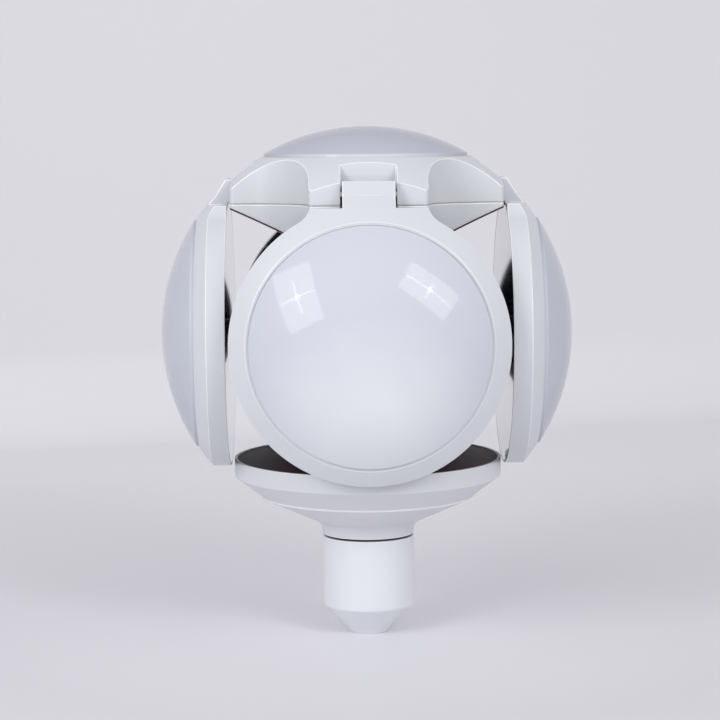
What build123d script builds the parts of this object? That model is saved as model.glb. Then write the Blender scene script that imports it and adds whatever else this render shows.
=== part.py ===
from build123d import *
import math
import os

# A folding bulb lamp. Four round leaves hang from a head and close into a ball round a
# column, above a bowl with a screw base, which a cap covers. The lamp stands on the cap.
# The origin is the middle of the cap's foot, +Z is up and the front leaf faces -Y.

# Ball: the closed lenses lie on one sphere
ball_radius = 69.5
lens_proud = 0.4            # the shells lie this far inside that sphere
shell_ball = ball_radius - lens_proud

# Hinges: one in each arm of the head, behind the arm's flat end
hinge_angle = 47.66         # degrees above the ball's middle
hinge_depth = 5.06
hinge_run = ball_radius - hinge_depth
hinge_r = hinge_run * math.cos(math.radians(hinge_angle))
hinge_up = hinge_run * math.sin(math.radians(hinge_angle))
pin_radius = 1.0
pin_fit = 0.05
pin_sink = 0.8              # the pin ends inside the arm's side
pin_stop = 2.0              # the pin's bore is blind at one end
arm_face = 1.8              # from the pin out to the arm's flat end
arm_drop = 3.3              # from the pin down to the parting line
arm_corner = 1.4            # the round corners of the arm, seen from above
hinge_gap = 0.7
tongue_half = 8.4
slot_half = tongue_half + hinge_gap
arm_side = 10.0             # the arm beside the slot
arm_half = slot_half + arm_side
tongue_heel = 4.37          # the tongue's rounded heel and its height above the pin
tongue_tip = 3.65           # from the pin out to the edge at the tongue's top
tongue_bend = 1.6           # below the pin the tongue's face turns from round to flat
heel_gap = 0.35
slot_inner = hinge_r - tongue_heel - heel_gap
tip_swing = math.hypot(tongue_tip, tongue_heel)
recess_low = hinge_up + tip_swing + heel_gap
recess_run = 1.0            # the floor above the tongue slopes in
recess_rise = 6.4
recess_draft = 20.0         # degrees that the recess narrows towards its floor
arm_reach = hinge_r + arm_face

# Cap
foot_radius = 6.6
foot_edge = 1.2
cap_radius = 15.65
cap_cone_foot = 1.6
cap_cone_top = 9.8
cap_height = 33.6
cap_bore_gap = 0.5
cap_floor = 5.0
cap_edge = 1.0

# Screw base under the cap, with the usual 27 mm lamp thread
thread_crest = 13.1
thread_root = 12.4
thread_pitch = 3.6
thread_turns = 4
thread_collar = 1.6
screw_shell_bore = 11.9
spigot_fit = 0.05
contact_radius = 4.6
contact_height = 2.1
insulator_height = 6.2
wire_bore = 4.0

# Seam between neck and cap, with its seal
seam = 0.8
seal = 0.5
seal_inset = 0.7
neck_bottom = cap_height + seam

# Bowl
neck_radius = 15.7
neck_height = 3.6
neck_round = 4.0
step_inset = 9.1            # from the rim in to the step
step_rise = 13.5            # from the neck's foot to the step
step_height = 0.5
rim_rise = 20.4             # from the neck's foot to the rim band
rim_height = 5.9
rim_edge = 0.3
rim_lip = 0.9
bowl_wall = 2.0
bowl_gap = 0.9              # between the closed leaves and the bowl's rim

# Leaves
back_step = 2.9             # the leaf's inner face lies this far outside its hinge pin
leaf_corner_gap = 1.3       # between neighbouring leaves
leaf_over_bowl = 2.3        # the closed leaves reach this far below the bowl's rim
neck_half = 18.7
neck_flare = 8.0
leaf_lens_radius = 38.4
lens_lip = 1.0
lens_fit = 0.15
lens_wall = 1.5
panel_thickness = 1.6
panel_lip = 0.7
panel_fit = 0.2
panel_backing = 1.7         # hollow behind the panel
leaf_web = 2.0
leaf_back = hinge_r + back_step
leaf_radius = leaf_back - leaf_corner_gap
leaf_seat = leaf_back + panel_thickness + panel_backing + leaf_web

# Heights that follow from these
bowl_radius = leaf_back - bowl_gap
step_radius = bowl_radius - step_inset
neck_head = neck_bottom + neck_height
step_z = neck_bottom + step_rise
rim_low = neck_bottom + rim_rise
rim_top = rim_low + rim_height
ball_z = rim_top + leaf_radius - leaf_over_bowl
hinge_z = ball_z + hinge_up
parting = hinge_up - arm_drop           # above the ball's middle

# Head
arm_round = 23.0            # the hollow between two arms
head_lens_radius = 34.3
head_cavity = 27.5
lens_sink = 5.7             # from the lip to the lens's seat
under_slope = 0.45
under_drop = 2.0            # from the parting line down to the underside, at an arm's end
under_plate = 0.8
shadow_gap = 0.35           # the groove along the parting line
shadow_depth = 0.5
funnel_wall = 2.4
collar_length = 14.7        # the collar holds the column's top

# Column with its battery cell
column_radius = 12.0
column_fit = 0.1
column_lid = 1.5
cell_radius = 9.2
cell_length = 65.0
cell_gap = 0.4
cell_contact = 0.6
socket_rise = 14.6          # from the neck's foot to the cell's spring
socket_floor = neck_bottom + socket_rise
socket_wall = 2.4
spring_radius = 6.0
spring_wire = 0.5           # half the wire's thickness
spring_turns = 6

# Boards, LEDs and screws
board = 1.6
board_gap = 0.5
board_inset = 9.4           # from the bowl's rim in to the control board
led = 2.8
led_height = 0.7
screw_radius = 1.2
screw_fit = 0.05
screw_head = 2.2
screw_head_height = 1.2
screw_room = 0.3            # round a screw's head and past its tip
screw_bed = 2.0             # under the heads of the head's screws
head_screw_r = 35.5
head_screw = 11.0
head_led_screw = 5.0        # how far the small screws reach past their board
leaf_led_screw = 2.8
leaf_screw_ring = 15.5
post_screw = 3.2
post_inset = 12.0
post_radius = 2.6
posts = 3
part_inset = 9.0
chip_width = 5.0
chip_length = 7.0
chip_height = 1.4
can_radius = 2.4
can_height = 2.8

# Push button in the bowl's cover
cover = 1.6
cover_sink = 0.3
board_depth = 5.2           # from the cover down to the control board
button_inset = 19.4         # from the bowl's rim in to the button
button_radius = 5.0
button_gap = 0.35
button_proud = 1.1
button_travel = 1.2
button_flange = 1.2
button_flange_height = 1.4
switch_side = 6.0
switch_gap = 0.1

quarters = {"right": 0, "rear": 90, "left": 180, "front": 270}

# Half sections through the ball's middle: x is the distance from the turning axis
ball_section = Plane(origin=(0, 0, ball_z), x_dir=(1, 0, 0), z_dir=(0, -1, 0))
leaf_section = Plane(origin=(0, 0, ball_z), x_dir=(0, 0, 1), z_dir=(0, 1, 0))
leaf_axis = Axis((0, 0, ball_z), (1, 0, 0))

os.makedirs("parts", exist_ok=True)


def save(piece, name):
    """Labels a finished piece and writes its STEP file."""
    piece.label = name
    export_step(piece, "parts/" + name + ".step")


def on_ball(radius, across):
    """Height of a sphere's surface over its middle, at a distance across from the axis."""
    return math.sqrt(radius**2 - across**2)


def under(across):
    """Height of an arm's sloping underside over the ball's middle."""
    return parting - under_drop - under_slope * (arm_reach - across)


def turned(plane, axis, points):
    """A turned solid from the corners of its half section."""
    with BuildPart() as solid:
        with BuildSketch(plane):
            with BuildLine():
                Polyline(*points, close=True)
            make_face()
        revolve(axis=axis)
    return solid.part


def above_underside(lift):
    """The space over the head's underside, or over a face lifted above it.

    The underside has one flat for each arm, which slopes down towards the middle.
    """
    middle = under(0) + lift
    side = under(ball_radius) + lift
    with BuildPart() as valley:
        with BuildSketch(ball_section):
            with BuildLine():
                Polyline(
                    (0, middle),
                    (ball_radius, side),
                    (ball_radius, 2 * ball_radius),
                    (-ball_radius, 2 * ball_radius),
                    (-ball_radius, side),
                    close=True,
                )
            make_face()
        extrude(amount=ball_radius, both=True)
    return valley.part & valley.part.rotate(Axis.Z, 90)


def disc(plane, radius, thickness, hole=0.0):
    """A round plate on a plane, with or without a hole in its middle."""
    with BuildPart() as solid:
        with BuildSketch(plane):
            Circle(radius)
            if hole:
                Circle(hole, mode=Mode.SUBTRACT)
        extrude(amount=thickness)
    return solid.part


def studs(plane, ring, count, radius, height, start=0.0):
    """Round studs on a circle."""
    with BuildPart() as solids:
        with BuildSketch(plane):
            with PolarLocations(ring, count, start_angle=start):
                Circle(radius)
        extrude(amount=height)
    return solids.part


def screws(plane, ring, count, length, start=0.0):
    """Pan head screws on a circle, with their shanks behind the plane."""
    with BuildPart() as solids:
        with BuildSketch(plane):
            with PolarLocations(ring, count, start_angle=start):
                Circle(screw_head)
        extrude(amount=screw_head_height)
        with BuildSketch(plane):
            with PolarLocations(ring, count, start_angle=start):
                Circle(screw_radius)
        extrude(amount=-length)
    return solids.part


def screw_holes(plane, ring, count, length, start=0.0):
    """The bores for such screws, a little wider and longer than their shanks."""
    return studs(plane, ring, count, screw_radius + screw_fit, length, start)


def circuit_board(plane, radius, ring, count, start=0.0, hole=0.0):
    """A round board with its screw holes, and a hole in its middle if it needs one."""
    with BuildPart() as solid:
        with BuildSketch(plane):
            Circle(radius)
            if hole:
                Circle(hole, mode=Mode.SUBTRACT)
            with PolarLocations(ring, count, start_angle=start):
                Circle(screw_radius + screw_fit, mode=Mode.SUBTRACT)
        extrude(amount=board)
    return solid.part


def leds(plane, rings):
    """The LEDs of a round board, in rings of (radius, count)."""
    with BuildPart() as solids:
        with BuildSketch(plane):
            for ring, count in rings:
                with PolarLocations(ring, count):
                    Rectangle(led, led)
        extrude(amount=led_height)
    return solids.part


def lens(plane, axis, edge, seat):
    """A milky dome on the ball's sphere, with a skirt that stands on its seat."""
    inside = ball_radius - lens_wall
    skirt = edge - lens_wall
    crown = math.radians(15)
    with BuildPart() as dome:
        with BuildSketch(plane):
            with BuildLine():
                Polyline((0, inside), (0, ball_radius))
                ThreePointArc(
                    (0, ball_radius),
                    (ball_radius * math.sin(crown), ball_radius * math.cos(crown)),
                    (edge, on_ball(ball_radius, edge)),
                )
                Polyline(
                    (edge, on_ball(ball_radius, edge)),
                    (edge, seat),
                    (skirt, seat),
                    (skirt, on_ball(inside, skirt)),
                )
                ThreePointArc(
                    (skirt, on_ball(inside, skirt)),
                    (inside * math.sin(crown), inside * math.cos(crown)),
                    (0, inside),
                )
            make_face()
        revolve(axis=axis)
    return dome.part


def head_plan(reach, inset=0.0):
    """The head from above, or a smaller outline inset inside it.

    It has four arms of one width, with a round hollow between two arms.
    """
    Rectangle(2 * (reach - inset), 2 * (arm_half - inset))
    Rectangle(2 * (arm_half - inset), 2 * (reach - inset))
    inner_corners = vertices().sort_by(lambda v: v.X**2 + v.Y**2)[:4]
    fillet(inner_corners, radius=arm_round + inset)
    outer_corners = vertices().sort_by(lambda v: v.X**2 + v.Y**2)[-8:]
    fillet(outer_corners, radius=arm_corner - inset)


def hinge_rod(radius, low, high):
    """A rod along the right hinge's axis, from low to high across the hinge."""
    with BuildPart() as rod:
        with BuildSketch(Plane(origin=(hinge_r, low, hinge_z), x_dir=(1, 0, 0), z_dir=(0, 1, 0))):
            Circle(radius)
        extrude(amount=high - low)
    return rod.part


# Cap: a tube with a tapered foot
cap_bore = thread_crest + cap_bore_gap
insulator_top = neck_bottom - thread_turns * thread_pitch - 2 * thread_collar
contact_bottom = insulator_top - insulator_height - contact_height
with BuildPart() as cap:
    with BuildSketch(Plane.XZ):
        with BuildLine():
            Polyline(
                (0, 0),
                (foot_radius, 0),
                (foot_radius + foot_edge, cap_cone_foot),
                (cap_radius, cap_cone_top),
                (cap_radius, cap_height),
                (cap_bore, cap_height),
                (cap_bore, insulator_top - foot_edge),
                (contact_radius + foot_edge, contact_bottom - foot_edge),
                (contact_radius, cap_floor),
                (0, cap_floor),
                close=True,
            )
        make_face()
    revolve(axis=Axis.Z)
    circles = cap.edges().filter_by(GeomType.CIRCLE)
    outer_circles = circles.filter_by(lambda e: e.radius > foot_radius + foot_edge - 0.01)
    cone_edges = outer_circles.filter_by_position(Axis.Z, cap_cone_foot - 0.01, cap_cone_top + 0.01)
    fillet(cone_edges, radius=cap_edge)
save(cap.part, "cap")

# Screw base: threaded metal shell, insulator and centre contact
thread_top = neck_bottom - thread_collar
thread_middle = (thread_crest + thread_root) / 2
thread_foot = thread_top - thread_turns * thread_pitch
with BuildPart() as screw_shell:
    with BuildSketch(Plane.XZ):
        with BuildLine():
            Polyline(
                (thread_middle, thread_foot),
                (thread_middle, insulator_top),
                (screw_shell_bore, insulator_top),
                (screw_shell_bore, neck_bottom),
                (thread_middle, neck_bottom),
                (thread_middle, thread_top),
            )
            for turn in range(thread_turns):
                top = thread_top - turn * thread_pitch
                middle = top - thread_pitch / 2
                foot = top - thread_pitch
                ThreePointArc(
                    (thread_middle, top),
                    (thread_root, top - thread_pitch / 4),
                    (thread_middle, middle),
                )
                ThreePointArc(
                    (thread_middle, middle),
                    (thread_crest, foot + thread_pitch / 4),
                    (thread_middle, foot),
                )
        make_face()
    revolve(axis=Axis.Z)
save(screw_shell.part, "screw_shell")

contact_insulator = turned(Plane.XZ, Axis.Z, [
    (0, insulator_top),
    (screw_shell_bore, insulator_top),
    (screw_shell_bore, insulator_top - foot_edge),
    (contact_radius + foot_edge, insulator_top - insulator_height),
    (0, insulator_top - insulator_height),
])
save(contact_insulator, "contact_insulator")

with BuildPart() as centre_contact:
    with BuildSketch(Plane.XY.offset(contact_bottom)):
        Circle(contact_radius)
    extrude(amount=contact_height)
    fillet(centre_contact.edges().group_by(Axis.Z)[0], radius=foot_edge)
save(centre_contact.part, "centre_contact")

seal_plane = Plane.XY.offset(neck_bottom - seal)
save(disc(seal_plane, neck_radius - seal_inset, seal, thread_middle + spigot_fit), "seal_ring")

# Bowl: rim band, two-step underside, neck, column socket and the screw shell's spigot
board_radius = bowl_radius - board_inset
post_ring = board_radius - post_inset
part_ring = board_radius - part_inset
button_r = bowl_radius - button_inset
cover_seat = rim_top - cover_sink - cover
board_top = cover_seat - board_depth
board_z = board_top - board
board_plane = Plane.XY.offset(board_z)
socket_top = cover_seat - button_flange_height
post_foot = neck_head + bowl_wall + neck_height
board_posts = studs(board_plane, post_ring, posts, post_radius, post_foot - board_z)
post_holes = screw_holes(board_plane, post_ring, posts, -post_screw - screw_room)
with BuildPart() as bowl:
    with BuildSketch(Plane.XZ):
        with BuildLine():
            Polyline(
                (wire_bore, insulator_top),
                (screw_shell_bore - spigot_fit, insulator_top),
                (screw_shell_bore - spigot_fit, neck_bottom),
                (neck_radius, neck_bottom),
                (neck_radius, neck_head),
                (step_radius, step_z - step_height),
                (step_radius, step_z),
                (bowl_radius, rim_low),
                (bowl_radius, rim_top),
                (bowl_radius - rim_lip, rim_top),
                (bowl_radius - rim_lip, cover_seat),
                (bowl_radius - bowl_wall, cover_seat),
                (bowl_radius - bowl_wall - rim_lip, rim_low),
                (step_radius, step_z + bowl_wall + rim_edge),
                (column_radius + socket_wall, post_foot),
                (column_radius + socket_wall, socket_top),
                (column_radius + column_fit, socket_top),
                (column_radius + column_fit, socket_floor),
                (wire_bore, socket_floor),
                close=True,
            )
        make_face()
    revolve(axis=Axis.Z)
    circles = bowl.edges().filter_by(GeomType.CIRCLE)
    at_neck = circles.filter_by_position(Axis.Z, neck_head - 0.01, neck_head + 0.01)
    throat = at_neck.sort_by(SortBy.RADIUS)[-1]
    at_rim = circles.filter_by_position(Axis.Z, rim_low - 0.01, rim_low + 0.01)
    belly = at_rim.sort_by(SortBy.RADIUS)[-1]
    fillet(throat, radius=neck_round)
    fillet(belly, radius=rim_edge)
    add(board_posts)
    add(post_holes, mode=Mode.SUBTRACT)
save(bowl.part, "bowl")

# Cover of the bowl, with the button's hole
with BuildPart() as bowl_cover:
    with BuildSketch(Plane.XY.offset(cover_seat)):
        Circle(bowl_radius - rim_lip - panel_fit)
        Circle(column_radius + column_fit, mode=Mode.SUBTRACT)
        with Locations((0, button_r)):
            Circle(button_radius + button_gap, mode=Mode.SUBTRACT)
    extrude(amount=cover)
save(bowl_cover.part, "bowl_cover")

# Push button: a cap with a flange that holds it under the cover
button_low = cover_seat - button_gap - button_flange_height
button_spot = Plane(origin=(0, button_r, button_low))
with BuildPart() as push_button:
    with BuildSketch(button_spot):
        Circle(button_radius)
    extrude(amount=rim_top - cover_sink + button_proud - button_low)
    fillet(push_button.edges().group_by(Axis.Z)[-1], radius=0.5)
    with BuildSketch(button_spot):
        Circle(button_radius + button_flange)
    extrude(amount=button_flange_height)
save(push_button.part, "push_button")

# Control board on its posts, with the switch under the button and other parts round it
board_face = Plane.XY.offset(board_top)
board_hole = column_radius + socket_wall + column_fit
save(circuit_board(board_plane, board_radius, post_ring, posts, hole=board_hole), "control_board")
save(screws(board_face, post_ring, posts, board + post_screw), "board_screws")

with BuildPart() as switch_body:
    with BuildSketch(board_face):
        with Locations((0, button_r)):
            Rectangle(switch_side, switch_side)
    extrude(amount=button_low - button_travel - switch_gap - board_top)
save(switch_body.part, "switch_body")

with BuildPart() as board_parts:
    with BuildSketch(board_face):
        with PolarLocations(part_ring, 3, start_angle=150, angular_range=90):
            Rectangle(chip_width, chip_length)
    extrude(amount=chip_height)
    with BuildSketch(board_face):
        with PolarLocations(part_ring, 3, start_angle=270, angular_range=90):
            Circle(can_radius)
    extrude(amount=can_height)
save(board_parts.part, "board_parts")

# Column: the tube that carries the head and holds the battery cell
collar_r = column_radius + column_fit
collar_out = collar_r + socket_wall
collar_top = under(collar_out) + under_plate + funnel_wall
collar_plane = Plane.XY.offset(ball_z + collar_top - collar_length)
column_top = ball_z + collar_top
cell_top = column_top - column_lid - cell_contact
cell_low = cell_top - cell_length
column = turned(Plane.XZ, Axis.Z, [
    (cell_radius + cell_gap, socket_floor),
    (column_radius, socket_floor),
    (column_radius, column_top),
    (wire_bore / 2, column_top),
    (wire_bore / 2, column_top - column_lid),
    (cell_radius + cell_gap, column_top - column_lid),
])
save(column, "column")

with BuildPart() as battery_cell:
    with BuildSketch(Plane.XY.offset(cell_low)):
        Circle(cell_radius)
    extrude(amount=cell_length)
    fillet(battery_cell.edges().filter_by(GeomType.CIRCLE), radius=0.6)
save(battery_cell.part, "battery_cell")

save(disc(Plane.XY.offset(cell_top), cell_radius, cell_contact, wire_bore / 2), "battery_contact")

spring_rise = cell_low - socket_floor - 2 * spring_wire
with BuildPart() as battery_spring:
    with BuildLine(Plane.XY.offset(socket_floor + spring_wire)):
        coil = Helix(pitch=spring_rise / spring_turns, height=spring_rise, radius=spring_radius)
    with BuildSketch(Plane(origin=coil @ 0, z_dir=coil % 0)):
        Circle(spring_wire)
    sweep(is_frenet=True)
save(battery_spring.part, "battery_spring")

# Hinge slots, first at the right side of the head and then turned to all four
with BuildPart() as hinge_slot:
    with BuildSketch(ball_section):
        with BuildLine():
            Polyline(
                (slot_inner, 0),
                (ball_radius, 0),
                (ball_radius, recess_low),
                (slot_inner, recess_low),
                close=True,
            )
        make_face()
    extrude(amount=slot_half, both=True)

# Recess above each slot: its floor slopes in, and its sides lean in with the draft
mouth_low = on_ball(ball_radius, recess_low)
floor_top = hinge_up + tongue_heel + recess_rise
floor_r = slot_inner - recess_run
mouth_run = math.hypot(mouth_low - floor_r, floor_top - recess_low)
mouth_way = ((floor_r - mouth_low) / mouth_run, 0, (floor_top - recess_low) / mouth_run)
mouth_plane = Plane(origin=(mouth_low, 0, ball_z + recess_low), x_dir=(0, 1, 0), z_dir=mouth_way)
draft_slope = math.tan(math.radians(recess_draft))
with BuildPart() as recess_sides:
    with BuildSketch(mouth_plane):
        with BuildLine():
            Polyline(
                (-slot_half - draft_slope * arm_half, arm_half),
                (slot_half + draft_slope * arm_half, arm_half),
                (slot_half - draft_slope * slot_half, -slot_half),
                (-slot_half + draft_slope * slot_half, -slot_half),
                close=True,
            )
        make_face()
    extrude(amount=ball_radius / 2, both=True)
with BuildPart() as hinge_recess:
    with BuildSketch(ball_section):
        with BuildLine():
            Polyline(
                (slot_inner, recess_low),
                (ball_radius, recess_low),
                (ball_radius, ball_radius),
                (floor_r - recess_run, ball_radius),
                (floor_r, floor_top),
                close=True,
            )
        make_face()
    extrude(amount=slot_half, both=True)
    add(recess_sides, mode=Mode.INTERSECT)
slots = [hinge_slot.part.rotate(Axis.Z, turn) for turn in quarters.values()]
recesses = [hinge_recess.part.rotate(Axis.Z, turn) for turn in quarters.values()]

# Pin bores, each open at the end that faces away from the front leaf
right_bore = hinge_rod(pin_radius + pin_fit, pin_stop - arm_half, arm_half)
left_bore = hinge_rod(pin_radius + pin_fit, -arm_half, arm_half - pin_stop)
pin_bores = [(right_bore if turn < 180 else left_bore).rotate(Axis.Z, turn) for turn in quarters.values()]

# Head: lower shell, a shallow funnel with four arms, whose collar stands on the column
screw_seat = ball_z + under(head_screw_r) + under_plate + screw_bed
screw_face = Plane.XY.offset(screw_seat)
head_holes = screw_holes(screw_face, head_screw_r, 4, head_screw + screw_room)
screw_pockets = studs(screw_face, head_screw_r, 4, screw_head + screw_room, -parting)
funnel_room = turned(ball_section, Axis.Z, [
    (0, collar_top),
    (collar_out, collar_top),
    (head_cavity, under(head_cavity) + under_plate + funnel_wall),
    (head_cavity, ball_radius),
    (0, ball_radius),
])
with BuildPart() as head_lower_shell:
    with BuildSketch(Plane.XY.offset(ball_z)):
        head_plan(arm_reach)
    extrude(amount=parting - shadow_gap)
    with BuildSketch(Plane.XY.offset(ball_z + parting - shadow_gap)):
        head_plan(arm_reach, shadow_depth)
    extrude(amount=shadow_gap)
    add(above_underside(under_plate), mode=Mode.INTERSECT)
    add(disc(collar_plane, collar_out, collar_length))
    add(disc(collar_plane, collar_r, collar_length), mode=Mode.SUBTRACT)
    add(funnel_room, mode=Mode.SUBTRACT)
    add(head_holes, mode=Mode.SUBTRACT)
    add(screw_pockets, mode=Mode.SUBTRACT)
    add(slots, mode=Mode.SUBTRACT)
save(head_lower_shell.part, "head_lower_shell")

with BuildPart() as head_under_plate:
    with BuildSketch(Plane.XY.offset(ball_z)):
        head_plan(arm_reach)
    extrude(amount=parting)
    add(above_underside(0), mode=Mode.INTERSECT)
    add(above_underside(under_plate), mode=Mode.SUBTRACT)
    add(disc(collar_plane, collar_out + column_fit, collar_length), mode=Mode.SUBTRACT)
    add(screw_pockets, mode=Mode.SUBTRACT)
    add(slots, mode=Mode.SUBTRACT)
save(head_under_plate.part, "head_under_plate")

# Head: upper shell on the ball's sphere, with the arms' flat ends and the lens's seat
lip_up = on_ball(shell_ball, head_lens_radius + lens_fit + lens_lip)
head_seat = lip_up - lens_sink
head_board_plane = Plane.XY.offset(ball_z + head_seat)
head_board_radius = head_lens_radius - lens_wall - board_gap
head_led_ring = head_board_radius - screw_head
led_holes = screw_holes(head_board_plane, head_led_ring, 4, -head_led_screw - screw_room, 45)
lens_room = turned(ball_section, Axis.Z, [
    (0, 0),
    (head_cavity, 0),
    (head_cavity, head_seat),
    (head_lens_radius + lens_fit, head_seat),
    (head_lens_radius + lens_fit, ball_radius),
    (0, ball_radius),
])
with BuildPart() as head_upper_shell:
    with BuildSketch(Plane.XY.offset(ball_z + parting)):
        head_plan(arm_reach)
    extrude(amount=lip_up - parting)
    with Locations((0, 0, ball_z)):
        Sphere(shell_ball, rotation=(0, 0, 45), mode=Mode.INTERSECT)
    add(lens_room, mode=Mode.SUBTRACT)
    add(slots, mode=Mode.SUBTRACT)
    add(recesses, mode=Mode.SUBTRACT)
    add(pin_bores, mode=Mode.SUBTRACT)
    add(head_holes, mode=Mode.SUBTRACT)
    add(led_holes, mode=Mode.SUBTRACT)
save(head_upper_shell.part, "head_upper_shell")

screw_underside = Plane(origin=(0, 0, screw_seat), x_dir=(1, 0, 0), z_dir=(0, 0, -1))
save(screws(screw_underside, head_screw_r, 4, head_screw), "head_screws")

# Head: lens over its LED board
head_led_plane = head_board_plane.offset(board)
save(circuit_board(head_board_plane, head_board_radius, head_led_ring, 4, start=45), "head_led_board")
head_led_rings = [
    (0.74 * head_board_radius, 12),
    (0.46 * head_board_radius, 8),
    (0.19 * head_board_radius, 4),
]
save(leds(head_led_plane, head_led_rings), "head_leds")
save(screws(head_led_plane, head_led_ring, 4, board + head_led_screw, 45), "head_led_screws")
save(lens(ball_section, Axis.Z, head_lens_radius, head_seat), "head_lens")

# Leaf, first at the right side: the shell with its neck and hinge tongue
leaf_face = Plane(origin=(leaf_back, 0, ball_z), x_dir=(0, 1, 0), z_dir=(1, 0, 0))
leaf_lip = on_ball(shell_ball, leaf_lens_radius + lens_fit + lens_lip)
neck_top = parting - hinge_gap
neck_corner = math.hypot(neck_half, neck_top)
flare_reach = ((leaf_radius + neck_flare) ** 2 - neck_corner**2 - neck_flare**2) / (2 * neck_flare)
flare_turn = math.asin(flare_reach / neck_corner) - math.atan2(neck_half, neck_top)
flare_x = neck_half + neck_flare * math.cos(flare_turn)
flare_y = neck_top + neck_flare * math.sin(flare_turn)
flare_end = leaf_radius / (leaf_radius + neck_flare)
flare_aim = (math.pi + flare_turn + math.pi + math.atan2(flare_y, flare_x)) / 2
flare_mid_x = flare_x + neck_flare * math.cos(flare_aim)
flare_mid_y = flare_y + neck_flare * math.sin(flare_aim)
bend_up = hinge_up - tongue_bend
bend_r = on_ball(on_ball(shell_ball, tongue_half), bend_up) - 0.1
tongue_bore = hinge_rod(pin_radius + pin_fit, -tongue_half, tongue_half)
leaf_seat_plane = Plane(origin=(leaf_seat, 0, ball_z), x_dir=(0, 1, 0), z_dir=(1, 0, 0))
leaf_holes = screw_holes(leaf_seat_plane, leaf_screw_ring, 3, -leaf_web)
leaf_lens_room = turned(leaf_section, leaf_axis, [
    (0, leaf_seat),
    (leaf_lens_radius + lens_fit, leaf_seat),
    (leaf_lens_radius + lens_fit, ball_radius),
    (0, ball_radius),
])
panel_room = turned(leaf_section, leaf_axis, [
    (0, 0),
    (leaf_radius - panel_lip, 0),
    (leaf_radius - panel_lip, leaf_back + panel_thickness),
    (leaf_radius - panel_lip - bowl_wall, leaf_back + panel_thickness),
    (leaf_radius - panel_lip - bowl_wall, leaf_seat - leaf_web),
    (0, leaf_seat - leaf_web),
])
with BuildPart() as leaf_shell:
    with BuildSketch(leaf_face):
        Circle(leaf_radius)
        with BuildLine():
            for side in (1, -1):
                Line((0, 0), (side * flare_x * flare_end, flare_y * flare_end))
                ThreePointArc(
                    (side * flare_x * flare_end, flare_y * flare_end),
                    (side * flare_mid_x, flare_mid_y),
                    (side * neck_half, neck_top),
                )
            Line((-neck_half, neck_top), (neck_half, neck_top))
        make_face()
        with Locations((0, neck_top)):
            below_neck = (Align.CENTER, Align.MAX)
            Rectangle(2 * ball_radius, 2 * ball_radius, align=below_neck, mode=Mode.INTERSECT)
        Rectangle(2 * tongue_half, hinge_up, align=(Align.CENTER, Align.MIN))
    extrude(amount=leaf_lip - leaf_back)
    with Locations((0, 0, ball_z)):
        Sphere(shell_ball, rotation=(0, 0, 180), mode=Mode.INTERSECT)
    with BuildSketch(ball_section):
        with BuildLine():
            ThreePointArc(
                (hinge_r, hinge_up + tongue_heel),
                (hinge_r - tongue_heel, hinge_up),
                (hinge_r, hinge_up - tongue_heel),
            )
            Polyline(
                (hinge_r, hinge_up - tongue_heel),
                (bend_r, bend_up),
                (hinge_r + tongue_tip, hinge_up + tongue_heel),
                (hinge_r, hinge_up + tongue_heel),
            )
        make_face()
    extrude(amount=tongue_half, both=True)
    add(tongue_bore, mode=Mode.SUBTRACT)
    add(leaf_lens_room, mode=Mode.SUBTRACT)
    add(panel_room, mode=Mode.SUBTRACT)
    add(leaf_holes, mode=Mode.SUBTRACT)

# Leaf: panel, LED board, LEDs, screws, lens and hinge pin
leaf_led_plane = leaf_seat_plane.offset(board)
leaf_board_radius = leaf_lens_radius - lens_wall - board_gap
leaf_led_rings = [
    (0.85 * leaf_board_radius, 15),
    (0.63 * leaf_board_radius, 10),
    (0.22 * leaf_board_radius, 5),
]
right_pin = hinge_rod(pin_radius, pin_stop + heel_gap - arm_half, arm_half - pin_sink)
left_pin = hinge_rod(pin_radius, pin_sink - arm_half, arm_half - pin_stop - heel_gap)
leaf_pieces = {
    "leaf_shell": leaf_shell.part,
    "leaf_lens": lens(leaf_section, leaf_axis, leaf_lens_radius, leaf_seat),
    "leaf_solar_panel": disc(leaf_face, leaf_radius - panel_lip - panel_fit, panel_thickness),
    "leaf_led_board": circuit_board(leaf_seat_plane, leaf_board_radius, leaf_screw_ring, 3),
    "leaf_leds": leds(leaf_led_plane, leaf_led_rings),
    "leaf_board_screws": screws(leaf_led_plane, leaf_screw_ring, 3, board + leaf_led_screw),
}
for side_name, turn in quarters.items():
    for piece_name, piece in leaf_pieces.items():
        save(piece.rotate(Axis.Z, turn), piece_name + "_" + side_name)
    pin = right_pin if turn < 180 else left_pin
    save(pin.rotate(Axis.Z, turn), "hinge_pin_" + side_name)
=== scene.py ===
import logging
import math
from dataclasses import dataclass, field
from enum import Enum

import bpy
from mathutils import Matrix, Vector


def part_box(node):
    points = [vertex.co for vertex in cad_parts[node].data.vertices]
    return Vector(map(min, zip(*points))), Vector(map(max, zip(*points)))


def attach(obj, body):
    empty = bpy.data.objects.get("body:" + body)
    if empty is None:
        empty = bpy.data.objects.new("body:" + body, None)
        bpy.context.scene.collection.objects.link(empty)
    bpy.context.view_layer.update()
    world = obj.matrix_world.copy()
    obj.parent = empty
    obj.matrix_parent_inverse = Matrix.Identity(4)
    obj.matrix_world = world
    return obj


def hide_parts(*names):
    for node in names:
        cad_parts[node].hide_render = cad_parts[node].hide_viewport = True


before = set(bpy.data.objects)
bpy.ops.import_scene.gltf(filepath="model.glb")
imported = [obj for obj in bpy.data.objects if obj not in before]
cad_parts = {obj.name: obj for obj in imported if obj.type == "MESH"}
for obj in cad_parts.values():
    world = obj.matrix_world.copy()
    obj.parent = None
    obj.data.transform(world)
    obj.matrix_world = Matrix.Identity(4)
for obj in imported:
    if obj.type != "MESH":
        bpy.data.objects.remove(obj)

LOG = logging.getLogger("lamp")
MM = 0.001
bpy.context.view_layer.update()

Point = tuple[float, float]
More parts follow.
